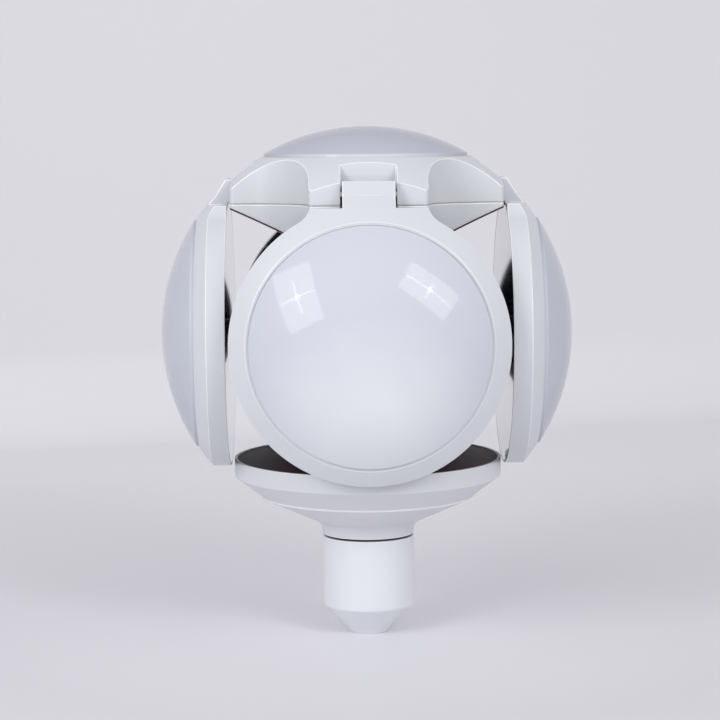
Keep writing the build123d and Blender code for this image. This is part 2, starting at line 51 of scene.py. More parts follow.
Place = tuple[float, float, float]
Colour = tuple[float, float, float]


class Side(Enum):
    """The four sides of the lamp that leaves hang on, with their turn about its axis."""

    RIGHT = 0
    REAR = 90
    LEFT = 180
    FRONT = 270

    @property
    def turn(self) -> int:
        """Degrees from the right side."""
        return self.value

    @property
    def label(self) -> str:
        """The side's name in lower case."""
        return self.name.lower()


# Nodes and effects

# The Mix node's sockets for colours
MIX_FIRST = 6
MIX_SECOND = 7
MIX_RESULT = 2

# Sizes of the surface patterns
FLOW_MARK = 45.0 * MM
SPECK = 1.6 * MM
SKIN = 0.35 * MM
CLOUD = 20.0 * MM
FINE_SPECK = 1.2 * MM
SCRATCH = 1.2 * MM
DULL_SPOT = 6.0 * MM


class Wiring:
    """Adds nodes to a material's or a group's tree and joins their sockets."""

    def __init__(self, tree: bpy.types.NodeTree) -> None:
        """Takes a node tree and empties it."""
        self.tree = tree
        self.tree.nodes.clear()

    def add(self, kind: str, **settings: object) -> bpy.types.Node:
        """Adds one node.

        Args:
            kind: the node's type name, without the leading ShaderNode.
            settings: properties of the node.

        Returns:
            The new node.
        """
        node = self.tree.nodes.new(kind if kind.startswith("Node") else "ShaderNode" + kind)
        for name, value in settings.items():
            setattr(node, name, value)
        return node

    def join(self, source: bpy.types.NodeSocket, target: bpy.types.NodeSocket) -> None:
        """Links one socket to another."""
        self.tree.links.new(source, target)

    def feed(self, target: bpy.types.NodeSocket, value: object) -> None:
        """Sets a socket to a value, or links it if the value is a socket.

        Args:
            target: the input to feed.
            value: a number, a colour or an output socket.
        """
        if isinstance(value, bpy.types.NodeSocket):
            self.join(value, target)
        elif isinstance(value, (tuple, list)) and len(value) == 3 and target.type == "RGBA":
            target.default_value = (*value, 1.0)
        else:
            target.default_value = value

    def place(self) -> bpy.types.NodeSocket:
        """Gives the coordinates that the patterns follow."""
        return self.add("TexCoord").outputs["Object"]

    def sum(
        self, operation: str, first: object, second: object = 0.0, clamp: bool = False
    ) -> bpy.types.NodeSocket:
        """Adds a Math node.

        Args:
            operation: the node's operation.
            first: its first input, a number or a socket.
            second: its second input.
            clamp: whether the result is kept between 0 and 1.

        Returns:
            The node's output.
        """
        node = self.add("Math", operation=operation, use_clamp=clamp)
        self.feed(node.inputs[0], first)
        self.feed(node.inputs[1], second)
        return node.outputs[0]

    def span(
        self, value: object, low: float, high: float, to_low: float = 0.0, to_high: float = 1.0
    ) -> bpy.types.NodeSocket:
        """Maps a value from one range to another, and keeps it inside.

        Args:
            value: the socket to map.
            low: the start of the range it comes from.
            high: the end of that range.
            to_low: what low becomes.
            to_high: what high becomes.

        Returns:
            The mapped value.
        """
        node = self.add("MapRange", clamp=True)
        for socket, item in zip(node.inputs, (value, low, high, to_low, to_high)):
            self.feed(socket, item)
        return node.outputs[0]

    def blend(self, share: object, first: object, second: object) -> bpy.types.NodeSocket:
        """Mixes two colours.

        Args:
            share: how much of the second colour shows.
            first: the first colour.
            second: the second colour.

        Returns:
            The mixed colour.
        """
        node = self.add("Mix", data_type="RGBA")
        self.feed(node.inputs["Factor"], share)
        self.feed(node.inputs[MIX_FIRST], first)
        self.feed(node.inputs[MIX_SECOND], second)
        return node.outputs[MIX_RESULT]

    def grain(
        self, place: bpy.types.NodeSocket, size: float, detail: float = 2.0
    ) -> bpy.types.NodeSocket:
        """Adds a soft random pattern.

        Args:
            place: the coordinates it follows.
            size: the size of its spots, in metres.
            detail: how much finer structure it has.

        Returns:
            The pattern, around one half.
        """
        node = self.add("TexNoise")
        self.join(place, node.inputs["Vector"])
        node.inputs["Scale"].default_value = 1.0 / size
        node.inputs["Detail"].default_value = detail
        return node.outputs["Fac"]

    def uneven(
        self, level: object, pattern: bpy.types.NodeSocket, amount: object
    ) -> bpy.types.NodeSocket:
        """Moves a value up and down with a pattern, and keeps it between 0 and 1."""
        swing = self.sum("MULTIPLY", self.sum("SUBTRACT", pattern, 0.5), amount)
        return self.sum("ADD", level, swing, True)

    def principled(self) -> bpy.types.Node:
        """Adds a Principled shader and joins it to the material's output.

        Returns:
            The shader's node.
        """
        shader = self.add("BsdfPrincipled")
        self.join(shader.outputs[0], self.add("OutputMaterial").inputs[0])
        return shader


class Effect(Enum):
    """The surface effects that several materials share."""

    MOULDED = "moulded_plastic"
    DIFFUSER = "milky_diffuser"
    BRUSHED = "drawn_metal"
    CIRCUIT = "circuit_print"


@dataclass(frozen=True)
class Port:
    """One named input or output of an effect."""

    name: str
    kind: str
    default: object = None

    def declare(self, group: bpy.types.NodeTree, way: str) -> None:
        """Makes the socket on a group.

        Args:
            group: the node group.
            way: INPUT or OUTPUT.
        """
        kind = "NodeSocket" + self.kind
        socket = group.interface.new_socket(name=self.name, in_out=way, socket_type=kind)
        if self.default is not None:
            value = self.default
            socket.default_value = (*value, 1.0) if self.kind == "Color" else value


SURFACE_PORTS = (Port("Colour", "Color"), Port("Roughness", "Float"), Port("Height", "Float"))
GroupParts = tuple[Wiring, bpy.types.Node, bpy.types.Node]


class EffectLibrary:
    """Builds each effect's node group once and hands it out."""

    def __init__(self) -> None:
        """Starts with no groups built."""
        self.groups: dict[Effect, bpy.types.NodeTree] = {}
        self.makers = {
            Effect.MOULDED: self._moulded,
            Effect.DIFFUSER: self._diffuser,
            Effect.BRUSHED: self._brushed,
            Effect.CIRCUIT: self._circuit,
        }

    def group(self, effect: Effect) -> bpy.types.NodeTree:
        """Gives an effect's group, building it if it is new.

        Args:
            effect: the effect wanted.

        Returns:
            Its node group.
        """
        if effect not in self.groups:
            self.groups[effect] = self.makers[effect](effect.value)
        return self.groups[effect]

    def _open(self, name: str, ports: list[Port]) -> GroupParts:
        """Makes a group with its inputs and the outputs that every surface effect has.

        Args:
            name: the group's name.
            ports: its inputs.

        Returns:
            The wiring of the group, its input node and its output node.
        """
        tree = bpy.data.node_groups.new(name, "ShaderNodeTree")
        for port in ports:
            port.declare(tree, "INPUT")
        for port in SURFACE_PORTS:
            port.declare(tree, "OUTPUT")
        wiring = Wiring(tree)
        return wiring, wiring.add("NodeGroupInput"), wiring.add("NodeGroupOutput")

    def _moulded(self, name: str) -> bpy.types.NodeTree:
        """Moulded plastic: faint flow marks, mottled gloss, a fine texture and a painted highlight
        on its edges.
        """
        wiring, source, result = self._open(
            name,
            [
                Port("Colour", "Color", (0.75, 0.77, 0.8)),
                Port("Flow Colour", "Color", (0.7, 0.72, 0.77)),
                # Painted highlight: the colour that edges are painted lighter towards, and how much
                # of it shows
                Port("Edge Colour", "Color", (0.8, 0.8, 0.8)),
                Port("Edge", "Float", 0.0),
                Port("Flow", "Float", 0.5),
                Port("Roughness", "Float", 0.35),
                Port("Mottle", "Float", 0.08),
            ],
        )
        place = wiring.place()
        flow = wiring.span(wiring.grain(place, FLOW_MARK, 3.0), 0.35, 0.65)
        speck = wiring.grain(place, SPECK, 3.0)
        skin = wiring.grain(place, SKIN)
        share = wiring.sum("MULTIPLY", flow, source.outputs["Flow"])
        flat = wiring.blend(share, source.outputs["Colour"], source.outputs["Flow Colour"])
        # Painted highlight: the colour is blended towards the highlight colour along the edges
        colour = wiring.blend(source.outputs["Edge"], flat, source.outputs["Edge Colour"])
        wiring.join(colour, result.inputs["Colour"])
        roughness = wiring.uneven(source.outputs["Roughness"], speck, source.outputs["Mottle"])
        wiring.join(roughness, result.inputs["Roughness"])
        height = wiring.sum("ADD", wiring.sum("MULTIPLY", speck, 0.6), skin)
        wiring.join(height, result.inputs["Height"])
        return wiring.tree

    def _diffuser(self, name: str) -> bpy.types.NodeTree:
        """Milky plastic that lights shine through, with painted light and shade: painted brightest
        round a centre, darker towards its rim and where it is seen from the side.
        """
        wiring, source, result = self._open(
            name,
            [
                Port("Colour", "Color", (0.72, 0.74, 0.8)),
                Port("Rim Colour", "Color", (0.62, 0.62, 0.74)),
                Port("Side Shade Colour", "Color", (0.5, 0.51, 0.57)),
                Port("Facing", "Float", 0.0),
                Port("Centre", "Vector", (0.0, 0.0, 0.0)),
                Port("Rim", "Float", 0.04),
                Port("Roughness", "Float", 0.12),
            ],
        )
        place = wiring.place()
        # Painted light and shade: the colour is lightest round the centre and turns to the rim
        # colour further out
        reach = wiring.add("VectorMath", operation="DISTANCE")
        wiring.join(place, reach.inputs[0])
        wiring.join(source.outputs["Centre"], reach.inputs[1])
        out = wiring.sum("DIVIDE", reach.outputs["Value"], source.outputs["Rim"])
        rim = wiring.span(out, 0.4, 1.2)
        cloud = wiring.span(wiring.grain(place, CLOUD, 4.0), 0.3, 0.7, 0.0, 0.16)
        share = wiring.sum("ADD", rim, cloud, True)
        flat = wiring.blend(share, source.outputs["Colour"], source.outputs["Rim Colour"])
        # Painted shade: the colour darkens to the side colour where the surface is seen at a steep
        # angle
        side_shade_share = wiring.span(source.outputs["Facing"], 0.06, 0.75)
        colour = wiring.blend(side_shade_share, flat, source.outputs["Side Shade Colour"])
        wiring.join(colour, result.inputs["Colour"])
        speck = wiring.grain(place, FINE_SPECK)
        roughness = wiring.uneven(source.outputs["Roughness"], speck, 0.05)
        wiring.join(roughness, result.inputs["Roughness"])
        wiring.join(speck, result.inputs["Height"])
        return wiring.tree

    def _brushed(self, name: str) -> bpy.types.NodeTree:
        """Metal drawn or rolled along one direction, with fine lines and dull spots."""
        wiring, source, result = self._open(
            name,
            [
                Port("Colour", "Color", (0.7, 0.7, 0.7)),
                Port("Dull Colour", "Color", (0.45, 0.44, 0.42)),
                Port("Stretch", "Vector", (1.0, 1.0, 12.0)),
                Port("Roughness", "Float", 0.25),
            ],
        )
        place = wiring.place()
        drawn = wiring.add("VectorMath", operation="MULTIPLY")
        wiring.join(place, drawn.inputs[0])
        wiring.join(source.outputs["Stretch"], drawn.inputs[1])
        lines = wiring.grain(drawn.outputs["Vector"], SCRATCH, 3.0)
        spots = wiring.span(wiring.grain(place, DULL_SPOT, 4.0), 0.5, 0.75, 0.0, 0.6)
        colour = wiring.blend(spots, source.outputs["Colour"], source.outputs["Dull Colour"])
        wiring.join(colour, result.inputs["Colour"])
        lined = wiring.sum("MULTIPLY", lines, 0.15)
        lined = wiring.sum("ADD", source.outputs["Roughness"], lined)
        roughness = wiring.sum("ADD", lined, wiring.sum("MULTIPLY", spots, 0.2), True)
        wiring.join(roughness, result.inputs["Roughness"])
        wiring.join(lines, result.inputs["Height"])
        return wiring.tree

    def _circuit(self, name: str) -> bpy.types.NodeTree:
        """Circuit board: solder mask with raised tracks that wander in straight runs."""
        wiring, source, result = self._open(
            name,
            [
                Port("Mask", "Color", (0.02, 0.16, 0.06)),
                Port("Track", "Color", (0.04, 0.26, 0.1)),
                Port("Pitch", "Float", 0.004),
            ],
        )
        place = wiring.place()
        scaled = wiring.add("VectorMath", operation="SCALE")
        wiring.join(place, scaled.inputs[0])
        wiring.join(wiring.sum("DIVIDE", 1.0, source.outputs["Pitch"]), scaled.inputs["Scale"])
        cells = wiring.add("TexVoronoi", feature="DISTANCE_TO_EDGE")
        cells.inputs["Scale"].default_value = 1.0
        cells.inputs["Randomness"].default_value = 0.55
        wiring.join(scaled.outputs["Vector"], cells.inputs["Vector"])
        track = wiring.span(cells.outputs["Distance"], 0.03, 0.07, 1.0, 0.0)
        colour = wiring.blend(track, source.outputs["Mask"], source.outputs["Track"])
        wiring.join(colour, result.inputs["Colour"])
        wiring.join(wiring.span(track, 0.0, 1.0, 0.42, 0.3), result.inputs["Roughness"])
        wiring.join(track, result.inputs["Height"])
        return wiring.tree


EFFECTS = EffectLibrary()


# Finishes

# The materials made here, kept here so that none is looked up by name in bpy.data.
MADE: dict[str, bpy.types.Material] = {}

# The rounded look of edges: how finely it is sampled, and from which turn an edge is painted with a
# highlight
EDGE_SAMPLES = 16
HIGHLIGHT_TURN = (0.92, 0.992)

# Tones of the solar cells, and the spacing of the Wave texture's bands at a scale of 1
CELL_DARK = (0.006, 0.008, 0.018)
CELL_LIGHT = (0.010, 0.011, 0.026)
CELL_GAP = (0.22, 0.22, 0.24)
COLLECTOR = (0.2, 0.2, 0.22)
WAVE_SPACING = 0.32


@dataclass(frozen=True)
class Finish:
    """A finish that one shared effect drives."""

    name: str
    effect: Effect
    values: dict[str, object] = field(default_factory=dict)
    metallic: float = 0.0
    specular: float = 0.5
    coat: float = 0.0
    coat_roughness: float = 0.05
    bump: float = 0.1
    bump_depth: float = 0.02 * MM
    # The radius of the rounded edge shading; on moulded finishes it also turns on the painted edge
    # highlight
    round_edge: float = 0.0

    def material(self) -> bpy.types.Material:
        """Gives the finish's material, making it the first time.

        Returns:
            The material.
        """
        if self.name in MADE:
            return MADE[self.name]
        made = bpy.data.materials.new(self.name)
        MADE[self.name] = made
        made.use_nodes = True
        wiring = Wiring(made.node_tree)
        shader = wiring.principled()
        shader.inputs["Metallic"].default_value = self.metallic
        shader.inputs["Specular IOR Level"].default_value = self.specular
        shader.inputs["Coat Weight"].default_value = self.coat
        shader.inputs["Coat Roughness"].default_value = self.coat_roughness
        surface = self.surface(wiring)
        wiring.join(surface.outputs["Colour"], shader.inputs["Base Color"])
        wiring.join(surface.outputs["Roughness"], shader.inputs["Roughness"])
        bump = wiring.add("Bump")
        bump.inputs["Strength"].default_value = self.bump
        bump.inputs["Distance"].default_value = self.bump_depth
        wiring.join(surface.outputs["Height"], bump.inputs["Height"])
        if self.round_edge:
            edge = wiring.add("Bevel", samples=EDGE_SAMPLES)
            edge.inputs["Radius"].default_value = self.round_edge
            wiring.join(edge.outputs["Normal"], bump.inputs["Normal"])
            # Painted highlight: where the rounded normal turns away from the true one, the edge is
            # painted towards the highlight colour
            if "Edge" in surface.inputs:
                turned = wiring.add("VectorMath", operation="DOT_PRODUCT")
                wiring.join(edge.outputs["Normal"], turned.inputs[0])
                wiring.join(wiring.add("NewGeometry").outputs["Normal"], turned.inputs[1])
                share = wiring.span(turned.outputs["Value"], *HIGHLIGHT_TURN, 1.0, 0.0)
                wiring.join(share, surface.inputs["Edge"])
        wiring.join(bump.outputs["Normal"], shader.inputs["Normal"])
        return made

    def surface(self, wiring: Wiring) -> bpy.types.Node:
        """Places the effect in the material with this finish's values.

        Args:
            wiring: the material's wiring.

        Returns:
            The group's node.
        """
        node = wiring.add("Group")
        node.node_tree = EFFECTS.group(self.effect)
        for name, value in self.values.items():
            wiring.feed(node.inputs[name], value)
        return node


@dataclass(frozen=True)
class MilkyFinish(Finish):
    """Milky plastic with painted shade that follows the angle that it is seen at."""

    def surface(self, wiring: Wiring) -> bpy.types.Node:
        """Places the effect and tells it how steeply the surface is seen.

        Args:
            wiring: the material's wiring.

        Returns:
            The group's node.
        """
        node = super().surface(wiring)
        angle = wiring.add("LayerWeight")
        angle.inputs["Blend"].default_value = 0.5
        wiring.join(angle.outputs["Facing"], node.inputs["Facing"])
        return node


@dataclass(frozen=True)
class PanelFinish(Finish):
    """Solar cells under clear resin: dark cells in rows, with thin silver collector lines."""

    across: int = 0
    cell: float = 12.5 * MM
    cell_height: float = 26.0 * MM
    gap: float = 0.35 * MM
    gap_softness: float = 0.1
    line_pitch: float = 1.6 * MM
    line_share: float = 0.12

    def surface(self, wiring: Wiring) -> bpy.types.Node:
        """Lays the cells over the moulded effect of the resin.

        Args:
            wiring: the material's wiring.

        Returns:
            A group node whose colour input carries the cells.
        """
        node = super().surface(wiring)
        split = wiring.add("SeparateXYZ")
        wiring.join(wiring.place(), split.inputs[0])
        flat = wiring.add("CombineXYZ")
        wiring.join(split.outputs[self.across], flat.inputs[0])
        wiring.join(split.outputs[2], flat.inputs[1])
        cells = wiring.add("TexBrick", offset=0.0, squash=1.0)
        wiring.join(flat.outputs[0], cells.inputs["Vector"])
        wiring.feed(cells.inputs["Color1"], CELL_DARK)
        wiring.feed(cells.inputs["Color2"], CELL_LIGHT)
        wiring.feed(cells.inputs["Mortar"], CELL_GAP)
        cells.inputs["Scale"].default_value = 1.0
        cells.inputs["Mortar Size"].default_value = self.gap
        cells.inputs["Mortar Smooth"].default_value = self.gap_softness
        cells.inputs["Brick Width"].default_value = self.cell
        cells.inputs["Row Height"].default_value = self.cell_height
        waves = wiring.add("TexWave", bands_direction="Y")
        waves.inputs["Scale"].default_value = WAVE_SPACING / self.line_pitch
        wiring.join(flat.outputs[0], waves.inputs["Vector"])
        lines = wiring.span(waves.outputs["Fac"], 0.9, 1.0, 0.0, self.line_share)
        tone = wiring.blend(lines, cells.outputs["Color"], COLLECTOR)
        wiring.join(tone, node.inputs["Colour"])
        wiring.join(tone, node.inputs["Flow Colour"])
        return node


def satin_white(name: str, colour: Colour, flow: Colour) -> Finish:
    """Gives a white satin plastic with a painted highlight on its edges.

    Args:
        name: the finish's name.
        colour: its main colour.
        flow: the colour of its flow marks.

    Returns:
        The finish.
    """
    values = {
        "Colour": colour,
        "Flow Colour": flow,
        "Edge Colour": (0.96, 0.965, 0.975),
        "Flow": 0.6,
        "Roughness": 0.27,
        "Mottle": 0.012,
    }
    return Finish(name, Effect.MOULDED, values, bump=0.12, round_edge=0.8 * MM)


def moulded(
    name: str, colour: Colour, flow: Colour, roughness: float, mottle: float, **more: float
) -> Finish:
    """Gives a plain moulded plastic or rubber.

    Args:
        name: the finish's name.
        colour: its main colour.
        flow: the colour of its flow marks.
        roughness: its roughness.
        mottle: how much the roughness wavers.
        more: other values of the finish.

    Returns:
        The finish.
    """
    values = {"Colour": colour, "Flow Colour": flow, "Roughness": roughness, "Mottle": mottle}
    return Finish(name, Effect.MOULDED, values, **more)


def metal(name: str, colour: Colour, dull: Colour, stretch: Place, roughness: float) -> Finish:
    """Gives a drawn, rolled or turned metal.

    Args:
        name: the finish's name.
        colour: its main colour.
        dull: the colour of its dull spots.
        stretch: how fine its lines are along each axis.
        roughness: its roughness.

    Returns:
        The finish.
    """
    values = {"Colour": colour, "Dull Colour": dull, "Stretch": stretch, "Roughness": roughness}
    return Finish(name, Effect.BRUSHED, values, metallic=1.0)


def board(name: str, mask: Colour, track: Colour, pitch: float) -> Finish:
    """Gives a circuit board's finish.

    Args:
        name: the finish's name.
        mask: the colour of the solder mask.
        track: its colour over the tracks.
        pitch: the spacing of the tracks.

    Returns:
        The finish.
    """
    values = {"Mask": mask, "Track": track, "Pitch": pitch}
    return Finish(name, Effect.CIRCUIT, values, bump=0.3)


# Painted light: the bowl's and the cap's whites are lighter copies of the same satin white,
# standing in for light thrown up onto the lower parts from the table.
WHITE = satin_white("satin_white", (0.664, 0.684, 0.724), (0.639, 0.66, 0.703))
BOWL_WHITE_PAINTED_LIGHT = satin_white("bowl_white_painted_light", (0.712, 0.728, 0.77), (0.682, 0.70, 0.745))
CAP_WHITE_PAINTED_LIGHT = satin_white("cap_white_painted_light", (0.762, 0.784, 0.826), (0.735, 0.759, 0.806))
# The dark cover's rounded edges carry the moulded effect's default painted highlight colour.
DARK_COVER = moulded(
    "dark_cover_plastic",
    (0.049, 0.019, 0.035),
    (0.059, 0.027, 0.043),
    roughness=0.5,
    mottle=0.02,
    specular=0.1,
    round_edge=0.3 * MM,
)
BLACK = moulded(
    "black_matt_plastic", (0.018, 0.018, 0.02), (0.03, 0.03, 0.032), 0.5, 0.15, bump=0.25
)
# Painted shadow: this black is worn by the seal ring to paint the shadow in the gap between the cap
# and the neck.
GAP_SHADOW_BLACK = moulded("gap_shadow_black", (0.012, 0.012, 0.013), (0.03, 0.03, 0.03), 0.65, 0.2, bump=0.3)
CELL_WRAP = moulded("cell_wrap", (0.02, 0.11, 0.38), (0.03, 0.15, 0.45), 0.3, 0.1, bump=0.2)
CHIP = moulded("chip_resin", (0.02, 0.02, 0.022), (0.05, 0.05, 0.05), 0.4, 0.2, bump=0.3)
NICKEL = metal("nickel_plate", (0.66, 0.65, 0.62), (0.5, 0.49, 0.46), (1.0, 1.0, 12.0), 0.2)
ROLLED = metal("rolled_thread_metal", (0.78, 0.78, 0.77), (0.6, 0.6, 0.59), (12.0, 12.0, 1.0), 0.18)
BRASS = metal("contact_brass", (0.75, 0.55, 0.24), (0.5, 0.36, 0.17), (1.0, 1.0, 1.0), 0.25)
LED_BOARD = board("led_board_mask", (0.75, 0.76, 0.75), (0.68, 0.69, 0.66), 9.0 * MM)
CONTROL_BOARD = board("control_board_mask", (0.015, 0.13, 0.05), (0.03, 0.22, 0.08), 5.0 * MM)
PHOSPHOR = Finish(
    "led_phosphor",
    Effect.DIFFUSER,
    {"Colour": (0.85, 0.7, 0.18), "Rim Colour": (0.9, 0.82, 0.45), "Rim": 0.1, "Roughness": 0.3},
)

# Painted shade: the colours that the domes are painted darker to where they are seen from the side
LEAF_LENS_SIDE_SHADE = (0.515, 0.54, 0.612)
TOP_LENS_SIDE_SHADE = (0.445, 0.465, 0.545)


def milky(name: str, centre: Vector, rim: float, side: Colour) -> MilkyFinish:
    """Makes the milky finish of one lens, with its painted light and shade.

    Args:
        name: the material's name.
        centre: the middle of the painted light, where the dome is painted brightest.
        rim: how far the painted rim shade lies from there.
        side: the painted shade where the dome is seen from the side.

    Returns:
        The finish.
    """
    return MilkyFinish(
        name,
        Effect.DIFFUSER,
        {
            "Colour": (0.756, 0.78, 0.81),
            "Rim Colour": (0.603, 0.62, 0.692),
            "Side Shade Colour": side,
            "Centre": tuple(centre),
            "Rim": rim,
            "Roughness": 0.11,
        },
        specular=0.06,
        coat=0.34,
        coat_roughness=0.03,
        bump=0.04,
    )


def panel(side: Side) -> PanelFinish:
    """Makes the solar finish of one leaf, with its rows level.

    Args:
        side: the side that the leaf hangs on.

    Returns:
        The finish.
    """
    return PanelFinish(
        "solar_panel_" + side.label,
        Effect.MOULDED,
        {"Flow": 0.0, "Roughness": 0.1, "Mottle": 0.04},
        coat=1.0,
        coat_roughness=0.03,
        bump=0.04,
        across=1 if side.turn % 180 == 0 else 0,
    )


# Shapes

# The most of a line that the rounding at one of its ends may take
ROUNDING_SHARE = 0.48

# Points nearer to the axis than this lie on it
ON_AXIS = 1e-7

# The turn in degrees over which an edge stays crisp
CRISP_TURN = 38.0


@dataclass(frozen=True)
class Corner:
    """A corner of a turned outline, and how far it is rounded."""

    out: float
    up: float
    rounded: float = 0.0


def outline(corners: list[Corner], steps: int = 6) -> list[Point]:
    """Rounds the corners of an outline.

    Args:
        corners: the corners in order.
        steps: how many short lines each rounded corner has.

    Returns:
        The points of the outline.
    """
    points: list[Point] = []
    for index, corner in enumerate(corners):
        here = Vector((corner.out, corner.up))
        if not corner.rounded or index in (0, len(corners) - 1):
            points.append((here.x, here.y))
            continue
        before = Vector((corners[index - 1].out, corners[index - 1].up)) - here
        after = Vector((corners[index + 1].out, corners[index + 1].up)) - here
        half = before.angle(after) / 2
        most = ROUNDING_SHARE * min(before.length, after.length)
        reach = min(corner.rounded / math.tan(half), most)
        start = here + before.normalized() * reach
        end = here + after.normalized() * reach
        for step in range(steps + 1):
            share = step / steps
            bend = (1 - share) ** 2 * start + 2 * share * (1 - share) * here + share**2 * end
            points.append((bend.x, bend.y))
    return points


def sphere_run(radius: float, start: float, end: float, steps: int) -> list[Point]:
    """Follows a sphere's surface between two distances from its axis.

    Args:
        radius: the sphere's radius.
        start: the first distance from the axis.
        end: the last distance.
        steps: how many short lines the run has.

    Returns:
        The points as (distance from the axis, height over the sphere's middle).
    """
    low = math.asin(start / radius)
    high = math.asin(end / radius)
    angles = [low + (high - low) * step / steps for step in range(steps + 1)]
    return [(radius * math.sin(angle), radius * math.cos(angle)) for angle in angles]


@dataclass
class Turned:
    """A turned piece: an outline swept round an axis."""

    name: str
    points: list[Point]
    place: Matrix = field(default_factory=Matrix)
    sides: int = 192

    def build(self) -> bpy.types.Object:
        """Makes the mesh.

        Returns:
            The new object, at rest in the row frame.
        """
        verts: list[Vector] = []
        rings: list[list[int]] = []
        for out, up in self.points:
            if out < ON_AXIS:
                rings.append([len(verts)])
                verts.append(self.place @ Vector((0.0, 0.0, up)))
                continue
            ring = []
            for side in range(self.sides):
                angle = 2 * math.pi * side / self.sides
                ring.append(len(verts))
                corner = Vector((out * math.cos(angle), out * math.sin(angle), up))
                verts.append(self.place @ corner)
            rings.append(ring)
        faces = []
        for low, high in zip(rings, rings[1:]):
            for side in range(self.sides):
                after = side + 1
                quad = [low[side % len(low)], low[after % len(low)]]
                quad += [high[after % len(high)], high[side % len(high)]]
                faces.append(list(dict.fromkeys(quad)))
        return solid(self.name, verts, [face for face in faces if len(face) > 2])


def solid(
    name: str, verts: list[Vector], faces: list[list[int]], sharp: float = CRISP_TURN
) -> bpy.types.Object:
    """Makes a smooth mesh object with crisp edges where it turns sharply.

    Args:
        name: the object's name.
        verts: its vertices, in metres.
        faces: its faces, as vertex numbers.
        sharp: the angle in degrees over which an edge stays crisp.

    Returns:
        The new object.
    """
    mesh = bpy.data.meshes.new(name)
    mesh.from_pydata([tuple(vert) for vert in verts], [], faces)
    mesh.validate()
    mesh.update()
    mesh.polygons.foreach_set("use_smooth", [True] * len(mesh.polygons))
    mesh.set_sharp_from_angle(angle=math.radians(sharp))
    made = bpy.data.objects.new(name, mesh)
    bpy.context.scene.collection.objects.link(made)
    return made


def dress(piece: bpy.types.Object, finish: Finish) -> None:
    """Gives every face of a piece one finish.

    Args:
        piece: the object.
        finish: the finish.
    """
    piece.data.materials.clear()
    piece.data.materials.append(finish.material())


def dress_node(node: str, finish: Finish) -> None:
    """Gives a CAD node its finish and reports it.

    Args:
        node: the node's name.
        finish: the finish.
    """
    dress(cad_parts[node], finish)
    LOG.info("%s dressed in %s", node, finish.name)


def ball_frame(side: Side | None) -> Matrix:
    """Gives a frame at the ball's middle whose +Z points out through one of the domes.

    Args:
        side: the dome's side, or None for the top dome.

    Returns:
        The frame's matrix.
    """
    low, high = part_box("leaf_lens_right")
    middle = Matrix.Translation((0.0, 0.0, (low.z + high.z) / 2))
    if side is None:
        return middle
    around = Matrix.Rotation(math.radians(side.turn), 4, "Z")
    return middle @ around @ Matrix.Rotation(math.radians(90), 4, "Y")


# Sub-assemblies

@dataclass
class Lens:
    """A milky dome: its outside on the ball's sphere, its skirt on the seat."""

    name: str
    node: str
    body: str
    side: Side | None
    ball: float
    edge: float
    seat: float
    fill: float = 0.1 * MM
    wall: float = 1.5 * MM
    soft_edge: float = 0.35 * MM
    # Painted light: how far below the dome's outermost point its brightest spot is moved, standing
    # in for light thrown up from the table
    painted_light_drop: float = 34.0 * MM
    rim_reach: float = 1.05
    outside_steps: int = 56
    inside_steps: int = 20
    sides: int = 224

    def build(self) -> bpy.types.Object:
        """Makes the dome, dresses it and puts it in place of its CAD node.

        Returns:
            The dome.
        """
        inside = self.ball - self.wall
        skirt = self.edge - self.wall
        edge = self.edge + self.fill
        outside = sphere_run(self.ball, 0.0, edge - self.soft_edge, self.outside_steps)
        corner = [
            Corner(*outside[-1]),
            Corner(edge, math.sqrt(self.ball**2 - edge**2), self.soft_edge),
            Corner(edge, self.seat),
            Corner(skirt, self.seat),
        ]
        inner = sphere_run(inside, 0.0, skirt, self.inside_steps)[::-1]
        points = outside[:-1] + outline(corner) + inner
        place = ball_frame(self.side)
        piece = Turned(self.name, points, place, self.sides).build()
        # Painted light and shade: the dome is painted brightest below its outermost point, and
        # darker towards its rim and where seen from the side
        bright = place @ Vector((0.0, 0.0, self.ball))
        if self.side:
            bright.z -= self.painted_light_drop
        side = LEAF_LENS_SIDE_SHADE if self.side else TOP_LENS_SIDE_SHADE
        dress(piece, milky(self.name + "_milky", bright, self.edge * self.rim_reach, side))
        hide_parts(self.node)
        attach(piece, self.body)
        LOG.info("%s built", self.name)
        return piece


@dataclass
class Leaf:
    """One folding leaf with its lens, solar panel, LED board and hinge pin."""

    side: Side

    def build(self) -> None:
        """Builds and dresses the leaf's pieces."""
        label = self.side.label
        low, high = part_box("leaf_lens_right")
        Lens(
            "leaf_dome_" + label,
            "leaf_lens_" + label,
            "leaf_" + label,
            self.side,
            ball=high.x,
            edge=(high.z - low.z) / 2,
            seat=low.x,
        ).build()
        dress_node("leaf_shell_" + label, WHITE)
        dress_node("leaf_solar_panel_" + label, panel(self.side))
        dress_node("leaf_led_board_" + label, LED_BOARD)
        dress_node("leaf_leds_" + label, PHOSPHOR)
        dress_node("leaf_board_screws_" + label, NICKEL)
        dress_node("hinge_pin_" + label, NICKEL)


@dataclass
class Head:
    """The head: two shells, the plate under them, the top lens and its board."""

    def build(self) -> None:
        """Builds the top dome and dresses the head's nodes."""
        low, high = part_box("head_lens")
        middle = ball_frame(None).translation.z
        Lens(
            "top_dome",
            "head_lens",
            "core",
            None,
            ball=high.z - middle,
            edge=high.x,
            seat=low.z - middle,
        ).build()
        dress_node("head_upper_shell", WHITE)
        dress_node("head_lower_shell", WHITE)
        dress_node("head_under_plate", DARK_COVER)
        dress_node("head_screws", NICKEL)
        dress_node("head_led_board", LED_BOARD)
        dress_node("head_leds", PHOSPHOR)
        dress_node("head_led_screws", NICKEL)


